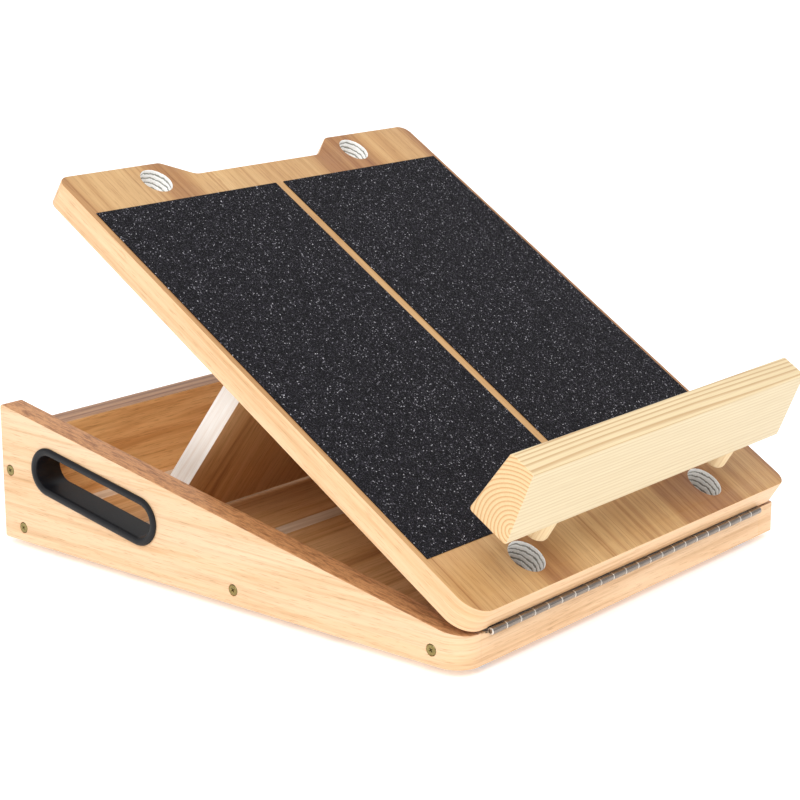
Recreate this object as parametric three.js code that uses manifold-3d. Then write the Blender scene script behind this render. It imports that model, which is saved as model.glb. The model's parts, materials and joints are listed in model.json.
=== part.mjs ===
// Folding slant board for calf stretching.
//
// A wedge-shaped box carries a tread board on a piano hinge along its low front edge. A prop board
// hangs from a rail under the tread and its foot stands at one of three grooves across the floor of
// the box, which sets the slope. A stopper bar on two dowels plugs into holes near the tread's front.
//
// Millimetres, +Z up, +X along the hinge, +Y from the hinge to the tall rear end. The finished
// model stands on its feet at Z = 0 with its bounding box centred over the origin.
import * as THREE from 'three';
import { mergeVertices } from 'three/addons/utils/BufferGeometryUtils.js';
import Module from 'manifold-3d';

const wasm = await Module();
wasm.setup();

// ---------------------------------------------------------------- driving dimensions
const FIT = 0.3; // gap kept between pieces that touch

// box
const WIDTH = 350;
const DEPTH = 400;
const SIDE_T = 18;
const FRONT_H = 20.3;
const REAR_H = 95.1;
const SIDE_CORNER_R = { left: 16, right: 1.5 }; // front corners, seen from above
const SIDE_NOSE_R = 3; // small rounding of the rear corners, seen from the side
const FLOOR_T = 20;
const BACK_T = 15;
const BACK_H = 77.2; // lower than the sides, so that fingers reach under the closed tread
const FOOT_H = 5;
const FOOT_R = 9;
const FOOT_INSET_X = 29; // foot centre to the outside of the box
const FOOT_INSET_Y = 14;

// grooves across the floor: front wall leans forward, seat is square to the prop
const GROOVE_W = 13.9;
const GROOVE_LIPS = [212.3, 288.5, 364.7]; // front lip of each groove

// hand slots in the sides and their plastic liners
const SLOT_CENTRE_Y = 309.2;
const SLOT_CENTRE_Z = 46.5;
const LINER_L = 121;
const LINER_R = 16.8;
const LINER_RIM_T = 1.6;
const LINER_LIP = 2.8; // rim width that covers the wood
const LINER_WALL = 2.6;
const LINER_TAIL = 2; // how far the tube stands out on the inside

// tread board
const TREAD_L = 406.3;
const TREAD_T = 18;
const TREAD_R_FRONT = { left: 17, right: 9 };
const TREAD_R_REAR = 9;
const NOTCH_DEPTH = 16;
const NOTCH_TOP = 84; // half width at the rear edge
const NOTCH_FLOOR = 62; // half width at the bottom
const HOLE_X = 100;
const HOLE_FRONT_D = 25;
const HOLE_FRONT_S = 24; // from the front edge
const HOLE_REAR_D = 22.5;
const HOLE_REAR_S = 389.5;
const REST_ANGLE = 32.4;

// grip sheets
const GRIP_T = 0.8;
const GRIP_OUTER_X = 170.8;
const GRIP_INNER_X = 3.9;
const GRIP_FRONT_S = 46.8;
const GRIP_REAR_S = 368.2;

// piano hinge
const HINGE_Y = -2.6;
const HINGE_Z = 20.5;
const HINGE_L = 304;
const KNUCKLE_COUNT = 22;
const BARREL_R = 2.3;
const PIN_R = 0.95;
const BORE_R = 1.5;
const LEAF_T = 0.8;
const LEAF_NEAR = 0.45; // nearer face of a leaf to the hinge's middle plane
const LEAF_START = 2.6; // first full-length line of a leaf, from the pin
const LEAF_END = 13;
const LEAF_RECESS = 1.15; // depth of the shallow housing that takes a leaf
const TREAD_V = 0.4; // underside of the tread, above the hinge's middle plane

// prop board, the rail it hangs from and its two butt hinges
const PROP_T = 16.5;
const PROP_HALF_W = 130;
const PROP_HINGE_U = 253.2; // pin, from the main hinge, along the tread
const PROP_GAP = 0.8; // between the prop and the rail when folded
const PROP_ANGLE = -53.5; // direction from the pin to the foot, in the YZ plane
const PROP_FOOT_CLEARANCE = 1.5; // height of the foot over the floor, so that it folds clear
const RAIL_T = 23.3;
const RAIL_FRONT = 18; // from the pin
const RAIL_REAR = 21;
const RAIL_SCREW_X = 40;
const RAIL_SCREW_U = 8; // from the pin
const BUTT_X = 85;
const BUTT_L = 50;
const BUTT_KNUCKLES = 5;
const BUTT_LEAF_END = 16;
const BUTT_SCREW_X = 15;
const BUTT_SCREW_U = 10;

// stopper bar, placed over the front holes and drawn clear of them
const BAR_L = 305;
const BAR_BOTTOM_S = [17, 49.8];
const BAR_TOP_S = [25.5, 45.2];
const BAR_BOTTOM_N = 51; // above the underside of the tread, along its normal
const BAR_TOP_N = 100;
const BAR_EDGE_R = 2.5;
const DOWEL_D = 16.5;
const DOWEL_S = 27.9;
const DOWEL_TIP_N = 34;
const DOWEL_IN_BAR = 10;

// screws: head radius, head height, shank radius, length
const WOOD_SCREW = { headR: 4, headH: 3, shankR: 1.9, length: 40 };
const HINGE_SCREW = { headR: 2.4, headH: 1.6, shankR: 1.1, length: 12 };
const FOOT_SCREW = { headR: 3, headH: 1.8, shankR: 1.3, length: 14 };
const RAIL_SCREW = { headR: 4, headH: 3, shankR: 1.9, length: 36 };
const SIDE_SCREWS = [
  ['rear_upper', DEPTH - BACK_T / 2, 48.5],
  ['rear_lower', 381.2, 9.7],
  ['middle', 182.4, 9.8],
  ['front', 23.1, 9.5],
];
const HINGE_SCREW_X = [-120, -60, 0, 60, 120];
const HINGE_SCREW_U = 8.1;

// ---------------------------------------------------------------- materials
function finish(color, roughness, metalness = 0) {
  return new THREE.MeshStandardMaterial({ color, roughness, metalness });
}

const OAK = () => finish(0xe6c196, 0.55);
const OAK_INSIDE = () => finish(0xc98f50, 0.6);
const PINE = () => finish(0xebdcb9, 0.6);
const GRIT = () => finish(0x23212a, 0.95);
const STEEL = () => finish(0x8f8880, 0.3, 1);
const BRASS_ZINC = () => finish(0x9c8a55, 0.35, 1);
const BLACK_PLASTIC = () => finish(0x26262c, 0.35);
const CLEAR_RUBBER = () => finish(0xd9dadb, 0.4);

// ---------------------------------------------------------------- solid helpers
function solid(geometry) {
  const bare = geometry.index ? geometry.toNonIndexed() : geometry.clone();
  bare.deleteAttribute('normal');
  bare.deleteAttribute('uv');
  const merged = mergeVertices(bare, 1e-4);
  const index = merged.index.array;
  const triangles = [];
  for (let i = 0; i < index.length; i += 3) {
    const [a, b, c] = [index[i], index[i + 1], index[i + 2]];
    if (a !== b && b !== c && c !== a) triangles.push(a, b, c);
  }
  return new wasm.Manifold(new wasm.Mesh({
    numProp: 3,
    vertProperties: new Float32Array(merged.attributes.position.array),
    triVerts: new Uint32Array(triangles),
  }));
}

function toGeometry(body) {
  const mesh = body.getMesh();
  const geometry = new THREE.BufferGeometry();
  geometry.setAttribute('position', new THREE.BufferAttribute(mesh.vertProperties, 3));
  geometry.setIndex(new THREE.BufferAttribute(mesh.triVerts, 1));
  geometry.computeVertexNormals();
  return geometry;
}

function addPiece(parent, name, body, material) {
  const mesh = new THREE.Mesh(toGeometry(body), material);
  mesh.name = name;
  parent.add(mesh);
}

function box(x0, x1, y0, y1, z0, z1) {
  const geometry = new THREE.BoxGeometry(x1 - x0, y1 - y0, z1 - z0);
  geometry.translate((x0 + x1) / 2, (y0 + y1) / 2, (z0 + z1) / 2);
  return solid(geometry);
}

// a shape drawn in X and Y, from z0 to z1
function plate(shape, z0, z1, curveSegments = 5) {
  const geometry = new THREE.ExtrudeGeometry(shape, { depth: z1 - z0, bevelEnabled: false, curveSegments });
  geometry.translate(0, 0, z0);
  return solid(geometry);
}

// a shape drawn in Y and Z, from x0 to x1
function prism(shape, x0, x1, curveSegments = 5) {
  const geometry = new THREE.ExtrudeGeometry(shape, { depth: x1 - x0, bevelEnabled: false, curveSegments });
  const yzx = new THREE.Matrix4().makeBasis(
    new THREE.Vector3(0, 1, 0),
    new THREE.Vector3(0, 0, 1),
    new THREE.Vector3(1, 0, 0),
  );
  geometry.applyMatrix4(yzx);
  geometry.translate(x0, 0, 0);
  return solid(geometry);
}

function polygon(points) {
  return new THREE.Shape(points.map(([x, y]) => new THREE.Vector2(x, y)));
}

// a closed outline whose corners are [x, y, radius]
function roundedPolygon(corners) {
  const shape = new THREE.Shape();
  const count = corners.length;
  for (let i = 0; i < count; i += 1) {
    const [x, y, radius = 0] = corners[i];
    const here = new THREE.Vector2(x, y);
    const toPrevious = new THREE.Vector2(...corners[(i + count - 1) % count].slice(0, 2)).sub(here).normalize();
    const toNext = new THREE.Vector2(...corners[(i + 1) % count].slice(0, 2)).sub(here).normalize();
    const halfAngle = Math.acos(THREE.MathUtils.clamp(toPrevious.dot(toNext), -1, 1)) / 2;
    const reach = radius / Math.tan(halfAngle);
    const start = here.clone().addScaledVector(toPrevious, reach);
    const end = here.clone().addScaledVector(toNext, reach);
    if (i === 0) shape.moveTo(start.x, start.y);
    else shape.lineTo(start.x, start.y);
    if (radius > 0) shape.quadraticCurveTo(here.x, here.y, end.x, end.y);
  }
  return shape;
}

// an oblong with round ends, its long axis along X
function oblong(length, radius) {
  const shape = new THREE.Shape();
  const half = length / 2 - radius;
  shape.absarc(half, 0, radius, -Math.PI / 2, Math.PI / 2);
  shape.absarc(-half, 0, radius, Math.PI / 2, (3 * Math.PI) / 2);
  return shape;
}

// a cylinder along X
function rodX(radius, x0, x1, sides) {
  const geometry = new THREE.CylinderGeometry(radius, radius, x1 - x0, sides);
  geometry.rotateZ(Math.PI / 2);
  geometry.translate((x0 + x1) / 2, 0, 0);
  return solid(geometry);
}

// a cylinder along Z
function rodZ(radius, x, y, z0, z1, sides) {
  const geometry = new THREE.CylinderGeometry(radius, radius, z1 - z0, sides);
  geometry.rotateX(Math.PI / 2);
  geometry.translate(x, y, (z0 + z1) / 2);
  return solid(geometry);
}

// a countersunk screw whose head is at the origin and whose shank runs along direction
function screw(size, head, direction, clearance = 0) {
  const { headR, headH, shankR, length } = size;
  const reach = length + clearance * 2;
  const geometry = new THREE.LatheGeometry([
    new THREE.Vector2(0, -reach),
    new THREE.Vector2(shankR + clearance, -reach),
    new THREE.Vector2(shankR + clearance, -headH - clearance),
    new THREE.Vector2(headR + clearance, -clearance),
    new THREE.Vector2(headR + clearance, clearance * 2),
    new THREE.Vector2(0, clearance * 2),
  ], 6);
  const down = new THREE.Vector3(0, -1, 0);
  geometry.applyQuaternion(new THREE.Quaternion().setFromUnitVectors(down, direction));
  geometry.translate(head.x, head.y, head.z);
  return solid(geometry);
}

// drills every listed screw out of a body
function drilled(body, screws, size, direction) {
  let result = body;
  for (const head of screws) result = result.subtract(screw(size, head, direction, FIT));
  return result;
}

const X_AXIS = new THREE.Vector3(1, 0, 0);
const Z_AXIS = new THREE.Vector3(0, 0, 1);
const along = (axis, sign) => axis.clone().multiplyScalar(sign);

// ---------------------------------------------------------------- box
const SLOPE = Math.atan((REAR_H - FRONT_H) / DEPTH);
const INNER_X = WIDTH / 2 - SIDE_T;

function sideScrewHeads(side) {
  return SIDE_SCREWS.map(([, y, z]) => new THREE.Vector3(side * (WIDTH / 2 - FIT), y, z));
}

function footCentres() {
  const x = WIDTH / 2 - FOOT_INSET_X;
  return [
    ['front_left', -x, FOOT_INSET_Y],
    ['front_right', x, FOOT_INSET_Y],
    ['rear_left', -x, DEPTH - FOOT_INSET_Y],
    ['rear_right', x, DEPTH - FOOT_INSET_Y],
  ];
}

function footScrewHeads() {
  return footCentres().map(([, x, y]) => new THREE.Vector3(x, y, -FOOT_H + 1));
}

function hingeScrewHeads() {
  return HINGE_SCREW_X.map((x) => new THREE.Vector3(x, HINGE_SCREW_U, 0));
}

// hand slot outline, tilted to run parallel with the sloping top
function slotPrism(length, radius, x0, x1) {
  const body = prism(oblong(length, radius), x0, x1, 7);
  return body.rotate([THREE.MathUtils.radToDeg(SLOPE), 0, 0]).translate([0, SLOT_CENTRE_Y, SLOT_CENTRE_Z]);
}

function sidePanel(side) {
  const profile = roundedPolygon([
    [0, 0],
    [DEPTH, 0, SIDE_NOSE_R],
    [DEPTH, REAR_H, SIDE_NOSE_R],
    [0, FRONT_H],
  ]);
  const plan = roundedPolygon([
    [side * INNER_X, 0],
    [side * INNER_X, DEPTH],
    [side * (WIDTH / 2), DEPTH],
    [side * (WIDTH / 2), 0, side < 0 ? SIDE_CORNER_R.left : SIDE_CORNER_R.right],
  ]);
  const x0 = Math.min(side * INNER_X, (side * WIDTH) / 2);
  let body = prism(profile, x0, x0 + SIDE_T, 3).intersect(plate(plan, -1, REAR_H + 1, 6));
  body = body.subtract(slotPrism(LINER_L - 2 * LINER_LIP + 2 * FIT, LINER_R - LINER_LIP + FIT, -WIDTH, WIDTH));
  return drilled(body, sideScrewHeads(side), WOOD_SCREW, along(X_AXIS, -side));
}

function slotLiner(side) {
  const outside = WIDTH / 2;
  const span = (a, b) => [Math.min(side * a, side * b), Math.max(side * a, side * b)];
  const rim = slotPrism(LINER_L, LINER_R, ...span(outside + FIT, outside + FIT + LINER_RIM_T));
  const tubeSpan = span(INNER_X - LINER_TAIL, outside + FIT + LINER_RIM_T / 2);
  const tube = slotPrism(LINER_L - 2 * LINER_LIP, LINER_R - LINER_LIP, ...tubeSpan);
  const inset = LINER_LIP + LINER_WALL;
  const opening = slotPrism(LINER_L - 2 * inset, LINER_R - inset, -WIDTH, WIDTH);
  return rim.add(tube).subtract(opening);
}

function grooveCutter(lip) {
  const wallAngle = THREE.MathUtils.degToRad(-PROP_ANGLE);
  const depth = GROOVE_W / (Math.tan(wallAngle) + 1 / Math.tan(wallAngle));
  const bottom = lip + depth / Math.tan(wallAngle);
  const above = 1;
  const shape = polygon([
    [lip - above / Math.tan(wallAngle), FLOOR_T + above],
    [bottom, FLOOR_T - depth],
    [lip + GROOVE_W + above * Math.tan(wallAngle), FLOOR_T + above],
  ]);
  return prism(shape, -WIDTH, WIDTH);
}

function baseBoard() {
  const x = INNER_X - FIT;
  let body = box(-x, x, 0, DEPTH, 0, FLOOR_T);
  for (const lip of GROOVE_LIPS) body = body.subtract(grooveCutter(lip));
  const leafTop = HINGE_Z - LEAF_NEAR;
  const recess = HINGE_L / 2 + 1;
  body = body.subtract(box(-recess, recess, -1, HINGE_Y + LEAF_END + FIT, leafTop - LEAF_RECESS, FLOOR_T + 1));
  for (const side of [-1, 1]) {
    body = drilled(body, sideScrewHeads(side).slice(1), WOOD_SCREW, along(X_AXIS, -side));
  }
  body = drilled(body, footScrewHeads(), FOOT_SCREW, Z_AXIS);
  const heads = hingeScrewHeads().map((head) => head.add(new THREE.Vector3(0, HINGE_Y, leafTop)));
  return drilled(body, heads, HINGE_SCREW, along(Z_AXIS, -1));
}

function backPanel() {
  const x = INNER_X - FIT;
  const y = DEPTH - BACK_T;
  const drop = BACK_T * Math.tan(SLOPE);
  const shape = polygon([
    [y, FLOOR_T + FIT],
    [DEPTH, FLOOR_T + FIT],
    [DEPTH, BACK_H],
    [y, BACK_H - drop],
  ]);
  let body = prism(shape, -x, x);
  for (const side of [-1, 1]) {
    body = drilled(body, sideScrewHeads(side).slice(0, 1), WOOD_SCREW, along(X_AXIS, -side));
  }
  return body;
}

// a domed rubber bumper with a flat tread and a countersink for its screw
function foot(x, y) {
  const profile = [
    new THREE.Vector2(0, -FOOT_H),
    new THREE.Vector2(FOOT_R * 0.55, -FOOT_H),
    new THREE.Vector2(FOOT_R * 0.85, -FOOT_H * 0.78),
    new THREE.Vector2(FOOT_R, -FOOT_H * 0.3),
    new THREE.Vector2(FOOT_R, -FIT),
    new THREE.Vector2(0, -FIT),
  ];
  const geometry = new THREE.LatheGeometry(profile, 12);
  geometry.rotateX(Math.PI / 2);
  geometry.translate(x, y, 0);
  const head = new THREE.Vector3(x, y, -FOOT_H + 1);
  const well = rodZ(FOOT_SCREW.headR + FIT, x, y, -FOOT_H - 1, -FOOT_H + 1 + FIT, 6);
  return solid(geometry).subtract(screw(FOOT_SCREW, head, Z_AXIS, FIT)).subtract(well);
}

// ---------------------------------------------------------------- hinges
// Leaf in a frame whose X axis is the pin. The leaf lies on the side of +Y, and level says on
// which side of the middle plane: +1 above, -1 below. parity picks every other knuckle.
function hingeLeaf(length, count, leafEnd, level, parity, screwHeads) {
  const pitch = length / count;
  const gap = FIT / 2;
  const z0 = level > 0 ? LEAF_NEAR : -LEAF_NEAR - LEAF_T;
  const z1 = z0 + LEAF_T;
  let body = box(-length / 2, length / 2, LEAF_START, leafEnd, z0, z1);
  for (let i = parity; i < count; i += 2) {
    const x0 = -length / 2 + i * pitch + gap;
    const x1 = x0 + pitch - 2 * gap;
    body = body.add(rodX(BARREL_R, x0, x1, 8).rotate([22.5, 0, 0]));
    body = body.add(box(x0, x1, BORE_R, LEAF_START + 0.1, z0, z1));
  }
  body = body.subtract(rodX(BORE_R, -length / 2 - 1, length / 2 + 1, 6));
  for (const head of screwHeads) {
    body = body.subtract(rodZ(HINGE_SCREW.headR + FIT, head.x, head.y, z0 - 1, z1 + 1, 8));
  }
  return body;
}

function hingePin(length) {
  return rodX(PIN_R, -length / 2 + 0.5, length / 2 - 0.5, 6);
}

// ---------------------------------------------------------------- tread, frame on the pin axis
const TREAD_U = LEAF_START; // front edge of the tread, from the pin
const treadU = (s) => TREAD_U + s;
const treadV = (n) => TREAD_V + n;
const PROP_PIN_V = TREAD_V - FIT - RAIL_T - PROP_GAP / 2;

function treadOutline() {
  const w = WIDTH / 2;
  const front = treadU(0);
  const rear = treadU(TREAD_L);
  const notch = rear - NOTCH_DEPTH;
  return roundedPolygon([
    [-w, front, TREAD_R_FRONT.left],
    [w, front, TREAD_R_FRONT.right],
    [w, rear, TREAD_R_REAR],
    [NOTCH_TOP, rear, 7],
    [NOTCH_FLOOR, notch, 12],
    [-NOTCH_FLOOR, notch, 12],
    [-NOTCH_TOP, rear, 7],
    [-w, rear, TREAD_R_REAR],
  ]);
}

function buttScrewHeads(side) {
  return [-1, 1].map((end) => new THREE.Vector3(side * BUTT_X + end * BUTT_SCREW_X, BUTT_SCREW_U, 0));
}

function railScrewHeads() {
  const low = PROP_PIN_V + PROP_GAP / 2 + FIT;
  return [-1, 1].map((side) => new THREE.Vector3(side * RAIL_SCREW_X, PROP_HINGE_U + RAIL_SCREW_U, low));
}

function treadBoard() {
  let body = plate(treadOutline(), treadV(0), treadV(TREAD_T), 5);
  for (const side of [-1, 1]) {
    const x = side * HOLE_X;
    body = body.subtract(rodZ(HOLE_FRONT_D / 2, x, treadU(HOLE_FRONT_S), -5, 40, 20));
    body = body.subtract(rodZ(HOLE_REAR_D / 2, x, treadU(HOLE_REAR_S), -5, 40, 20));
  }
  const recess = HINGE_L / 2 + 1;
  body = body.subtract(box(-recess, recess, 0, LEAF_END + FIT, -1, LEAF_NEAR + LEAF_RECESS));
  const heads = hingeScrewHeads().map((head) => head.setZ(LEAF_NEAR));
  body = drilled(body, heads, HINGE_SCREW, Z_AXIS);
  return drilled(body, railScrewHeads(), RAIL_SCREW, Z_AXIS);
}

// the rail under the tread, with housings for the butt hinges in its lower face
function propRail() {
  const low = PROP_PIN_V + PROP_GAP / 2;
  const pin = PROP_HINGE_U;
  const half = PROP_HALF_W;
  let body = box(-half, half, pin - RAIL_FRONT, pin + RAIL_REAR, low, low + RAIL_T);
  for (const side of [-1, 1]) {
    const x0 = side * BUTT_X - BUTT_L / 2 - FIT;
    const x1 = side * BUTT_X + BUTT_L / 2 + FIT;
    const barrel = BARREL_R + FIT;
    const leafFace = PROP_PIN_V + LEAF_NEAR;
    const leafEnd = pin + BUTT_LEAF_END + FIT;
    body = body.subtract(box(x0, x1, pin - barrel, pin + barrel, low - 1, PROP_PIN_V + barrel));
    body = body.subtract(box(x0, x1, pin, leafEnd, low - 1, leafFace + LEAF_RECESS));
    const buttHeads = buttScrewHeads(side).map((head) => head.add(new THREE.Vector3(0, pin, leafFace)));
    body = drilled(body, buttHeads, HINGE_SCREW, Z_AXIS);
  }
  return drilled(body, railScrewHeads(), RAIL_SCREW, Z_AXIS);
}

function gripSheet(side) {
  const x0 = Math.min(side * GRIP_INNER_X, side * GRIP_OUTER_X);
  const x1 = Math.max(side * GRIP_INNER_X, side * GRIP_OUTER_X);
  const v = treadV(TREAD_T) + FIT / 2;
  return box(x0, x1, treadU(GRIP_FRONT_S), treadU(GRIP_REAR_S), v, v + GRIP_T);
}

// ---------------------------------------------------------------- stopper
function dowelAt(x, clearance) {
  const top = BAR_BOTTOM_N + DOWEL_IN_BAR;
  const tip = DOWEL_TIP_N;
  const r = DOWEL_D / 2 + clearance;
  const round = clearance > 0 ? 0 : 3;
  const geometry = new THREE.LatheGeometry([
    new THREE.Vector2(0, treadV(tip)),
    new THREE.Vector2(r - round, treadV(tip)),
    new THREE.Vector2(r - round * 0.3, treadV(tip + round * 0.3)),
    new THREE.Vector2(r, treadV(tip + round)),
    new THREE.Vector2(r, treadV(top + clearance)),
    new THREE.Vector2(0, treadV(top + clearance)),
  ], 16);
  geometry.rotateX(Math.PI / 2);
  geometry.translate(x, treadU(DOWEL_S), 0);
  return solid(geometry);
}

function stopperBar() {
  const shape = roundedPolygon([
    [treadU(BAR_BOTTOM_S[0]), treadV(BAR_BOTTOM_N), BAR_EDGE_R],
    [treadU(BAR_BOTTOM_S[1]), treadV(BAR_BOTTOM_N), BAR_EDGE_R],
    [treadU(BAR_TOP_S[1]), treadV(BAR_TOP_N), BAR_EDGE_R],
    [treadU(BAR_TOP_S[0]), treadV(BAR_TOP_N), BAR_EDGE_R],
  ]);
  let body = prism(shape, -BAR_L / 2, BAR_L / 2, 3);
  for (const side of [-1, 1]) body = body.subtract(dowelAt(side * HOLE_X, FIT));
  return body;
}

// ---------------------------------------------------------------- prop, frame on its own pin axis
// Y runs from the pin to the foot and Z points to the rear face.
function propLength() {
  // the front edge of the foot hangs just clear of the floor, over the mouth of the middle groove
  const angle = THREE.MathUtils.degToRad(PROP_ANGLE);
  const rest = THREE.MathUtils.degToRad(REST_ANGLE);
  const pinZ = HINGE_Z + PROP_HINGE_U * Math.sin(rest) + PROP_PIN_V * Math.cos(rest);
  const frontDrop = (PROP_T + PROP_GAP / 2) * Math.cos(angle);
  return (pinZ - frontDrop - FLOOR_T - PROP_FOOT_CLEARANCE) / Math.sin(-angle);
}

function propBoard() {
  const rear = -PROP_GAP / 2;
  const front = rear - PROP_T;
  const foot = propLength();
  let body = box(-PROP_HALF_W, PROP_HALF_W, 0, foot, front, rear);
  for (const side of [-1, 1]) {
    const x0 = side * BUTT_X - BUTT_L / 2 - FIT;
    const x1 = side * BUTT_X + BUTT_L / 2 + FIT;
    const notch = BARREL_R + FIT;
    body = body.subtract(box(x0, x1, -1, notch, -notch, 1));
    body = body.subtract(box(x0, x1, notch - 0.1, BUTT_LEAF_END + FIT, -LEAF_NEAR - LEAF_RECESS, 1));
    const heads = buttScrewHeads(side).map((head) => head.setZ(-LEAF_NEAR));
    body = drilled(body, heads, HINGE_SCREW, along(Z_AXIS, -1));
  }
  return body;
}

// ---------------------------------------------------------------- assembly
function buildBox() {
  const group = new THREE.Group();
  group.position.z = FOOT_H;
  addPiece(group, 'base_board', baseBoard(), OAK_INSIDE());
  addPiece(group, 'back_panel', backPanel(), OAK_INSIDE());
  for (const [word, side] of [['left', -1], ['right', 1]]) {
    addPiece(group, `${word}_side_panel`, sidePanel(side), OAK());
    addPiece(group, `${word}_slot_liner`, slotLiner(side), BLACK_PLASTIC());
    sideScrewHeads(side).forEach((head, i) => {
      const body = screw(WOOD_SCREW, head, along(X_AXIS, -side));
      addPiece(group, `${word}_side_screw_${SIDE_SCREWS[i][0]}`, body, BRASS_ZINC());
    });
  }
  footCentres().forEach(([place, x, y], i) => {
    addPiece(group, `foot_${place}`, foot(x, y), CLEAR_RUBBER());
    addPiece(group, `foot_screw_${place}`, screw(FOOT_SCREW, footScrewHeads()[i], Z_AXIS), STEEL());
  });
  const hinge = new THREE.Group();
  hinge.position.set(0, HINGE_Y, HINGE_Z);
  const heads = hingeScrewHeads();
  addPiece(hinge, 'hinge_leaf_lower', hingeLeaf(HINGE_L, KNUCKLE_COUNT, LEAF_END, -1, 0, heads), STEEL());
  addPiece(hinge, 'hinge_pin', hingePin(HINGE_L), STEEL());
  heads.forEach((head, i) => {
    const body = screw(HINGE_SCREW, head.setZ(-LEAF_NEAR), along(Z_AXIS, -1));
    addPiece(hinge, `hinge_screw_lower_${i + 1}`, body, STEEL());
  });
  group.add(hinge);
  return group;
}

function buildProp() {
  const group = new THREE.Group();
  group.rotation.x = THREE.MathUtils.degToRad(PROP_ANGLE - REST_ANGLE);
  group.position.set(0, PROP_HINGE_U, PROP_PIN_V);
  addPiece(group, 'prop_board', propBoard(), PINE());
  for (const [word, side] of [['left', -1], ['right', 1]]) {
    const butt = new THREE.Group();
    butt.position.x = side * BUTT_X;
    const heads = buttScrewHeads(0);
    const leaf = hingeLeaf(BUTT_L, BUTT_KNUCKLES, BUTT_LEAF_END, -1, 1, heads);
    addPiece(butt, `prop_hinge_leaf_${word}`, leaf, STEEL());
    heads.forEach((head, i) => {
      const body = screw(HINGE_SCREW, head.setZ(-LEAF_NEAR), along(Z_AXIS, -1));
      addPiece(butt, `prop_hinge_screw_${word}_${i + 1}`, body, STEEL());
    });
    group.add(butt);
  }
  return group;
}

function buildTread() {
  const group = new THREE.Group();
  group.position.set(0, HINGE_Y, HINGE_Z + FOOT_H);
  group.rotation.x = THREE.MathUtils.degToRad(REST_ANGLE);
  addPiece(group, 'tread_board', treadBoard(), OAK());
  addPiece(group, 'grip_sheet_left', gripSheet(-1), GRIT());
  addPiece(group, 'grip_sheet_right', gripSheet(1), GRIT());
  const heads = hingeScrewHeads();
  addPiece(group, 'hinge_leaf_upper', hingeLeaf(HINGE_L, KNUCKLE_COUNT, LEAF_END, 1, 1, heads), STEEL());
  heads.forEach((head, i) => {
    addPiece(group, `hinge_screw_upper_${i + 1}`, screw(HINGE_SCREW, head.setZ(LEAF_NEAR), Z_AXIS), STEEL());
  });
  for (const [word, side] of [['left', -1], ['right', 1]]) {
    const butt = new THREE.Group();
    butt.position.set(side * BUTT_X, PROP_HINGE_U, PROP_PIN_V);
    const buttHeads = buttScrewHeads(0);
    const leaf = hingeLeaf(BUTT_L, BUTT_KNUCKLES, BUTT_LEAF_END, 1, 0, buttHeads);
    addPiece(butt, `rail_hinge_leaf_${word}`, leaf, STEEL());
    addPiece(butt, `prop_hinge_pin_${word}`, hingePin(BUTT_L), STEEL());
    buttHeads.forEach((head, i) => {
      const body = screw(HINGE_SCREW, head.setZ(LEAF_NEAR), Z_AXIS);
      addPiece(butt, `rail_hinge_screw_${word}_${i + 1}`, body, STEEL());
    });
    group.add(butt);
    addPiece(group, `stopper_dowel_${word}`, dowelAt(side * HOLE_X, 0), PINE());
  }
  addPiece(group, 'stopper_bar', stopperBar(), PINE());
  addPiece(group, 'prop_rail', propRail(), PINE());
  railScrewHeads().forEach((head, i) => {
    addPiece(group, `rail_screw_${i === 0 ? 'left' : 'right'}`, screw(RAIL_SCREW, head, Z_AXIS), BRASS_ZINC());
  });
  group.add(buildProp());
  return group;
}

const slantBoard = new THREE.Group();
slantBoard.add(buildBox(), buildTread());
slantBoard.updateMatrixWorld(true);
const extent = new THREE.Box3().setFromObject(slantBoard, true);
const centre = extent.getCenter(new THREE.Vector3());
slantBoard.position.set(-centre.x, -centre.y, -extent.min.z);

export default slantBoard;
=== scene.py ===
"""A folding slant board: a wooden wedge box, a gritty hinged tread, a prop board and a stopper bar.

Metres, +Z up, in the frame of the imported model. Boards are drawn as outlines and extruded; the
tread and everything on it is drawn in a tread frame, whose origin is the piano hinge's pin, whose
Y axis runs up the tread and whose Z axis is the tread's normal.
"""
import json
import math
import random

import bmesh
import bpy
from mathutils import Matrix, Vector


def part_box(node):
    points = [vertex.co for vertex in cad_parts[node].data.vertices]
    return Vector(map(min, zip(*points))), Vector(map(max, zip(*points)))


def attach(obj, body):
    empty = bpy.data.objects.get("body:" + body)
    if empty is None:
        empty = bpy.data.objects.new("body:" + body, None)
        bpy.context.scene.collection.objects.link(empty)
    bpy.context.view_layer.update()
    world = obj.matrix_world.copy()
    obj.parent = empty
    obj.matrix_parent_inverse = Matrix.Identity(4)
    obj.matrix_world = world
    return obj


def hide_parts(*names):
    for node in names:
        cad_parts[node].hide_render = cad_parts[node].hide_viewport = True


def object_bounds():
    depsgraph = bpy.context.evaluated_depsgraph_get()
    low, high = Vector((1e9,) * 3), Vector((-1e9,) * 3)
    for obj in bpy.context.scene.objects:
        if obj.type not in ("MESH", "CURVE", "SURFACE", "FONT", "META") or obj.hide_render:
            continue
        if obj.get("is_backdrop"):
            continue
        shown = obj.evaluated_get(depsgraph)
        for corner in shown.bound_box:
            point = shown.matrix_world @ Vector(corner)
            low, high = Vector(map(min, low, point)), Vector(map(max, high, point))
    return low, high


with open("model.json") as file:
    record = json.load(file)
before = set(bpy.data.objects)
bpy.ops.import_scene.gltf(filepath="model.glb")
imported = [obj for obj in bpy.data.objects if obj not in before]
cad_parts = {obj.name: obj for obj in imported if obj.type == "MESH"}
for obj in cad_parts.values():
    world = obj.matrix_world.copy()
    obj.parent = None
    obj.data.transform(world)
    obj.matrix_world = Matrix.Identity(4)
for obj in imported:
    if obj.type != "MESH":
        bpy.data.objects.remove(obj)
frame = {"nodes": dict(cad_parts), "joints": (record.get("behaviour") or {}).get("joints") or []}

MM = 0.001
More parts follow.
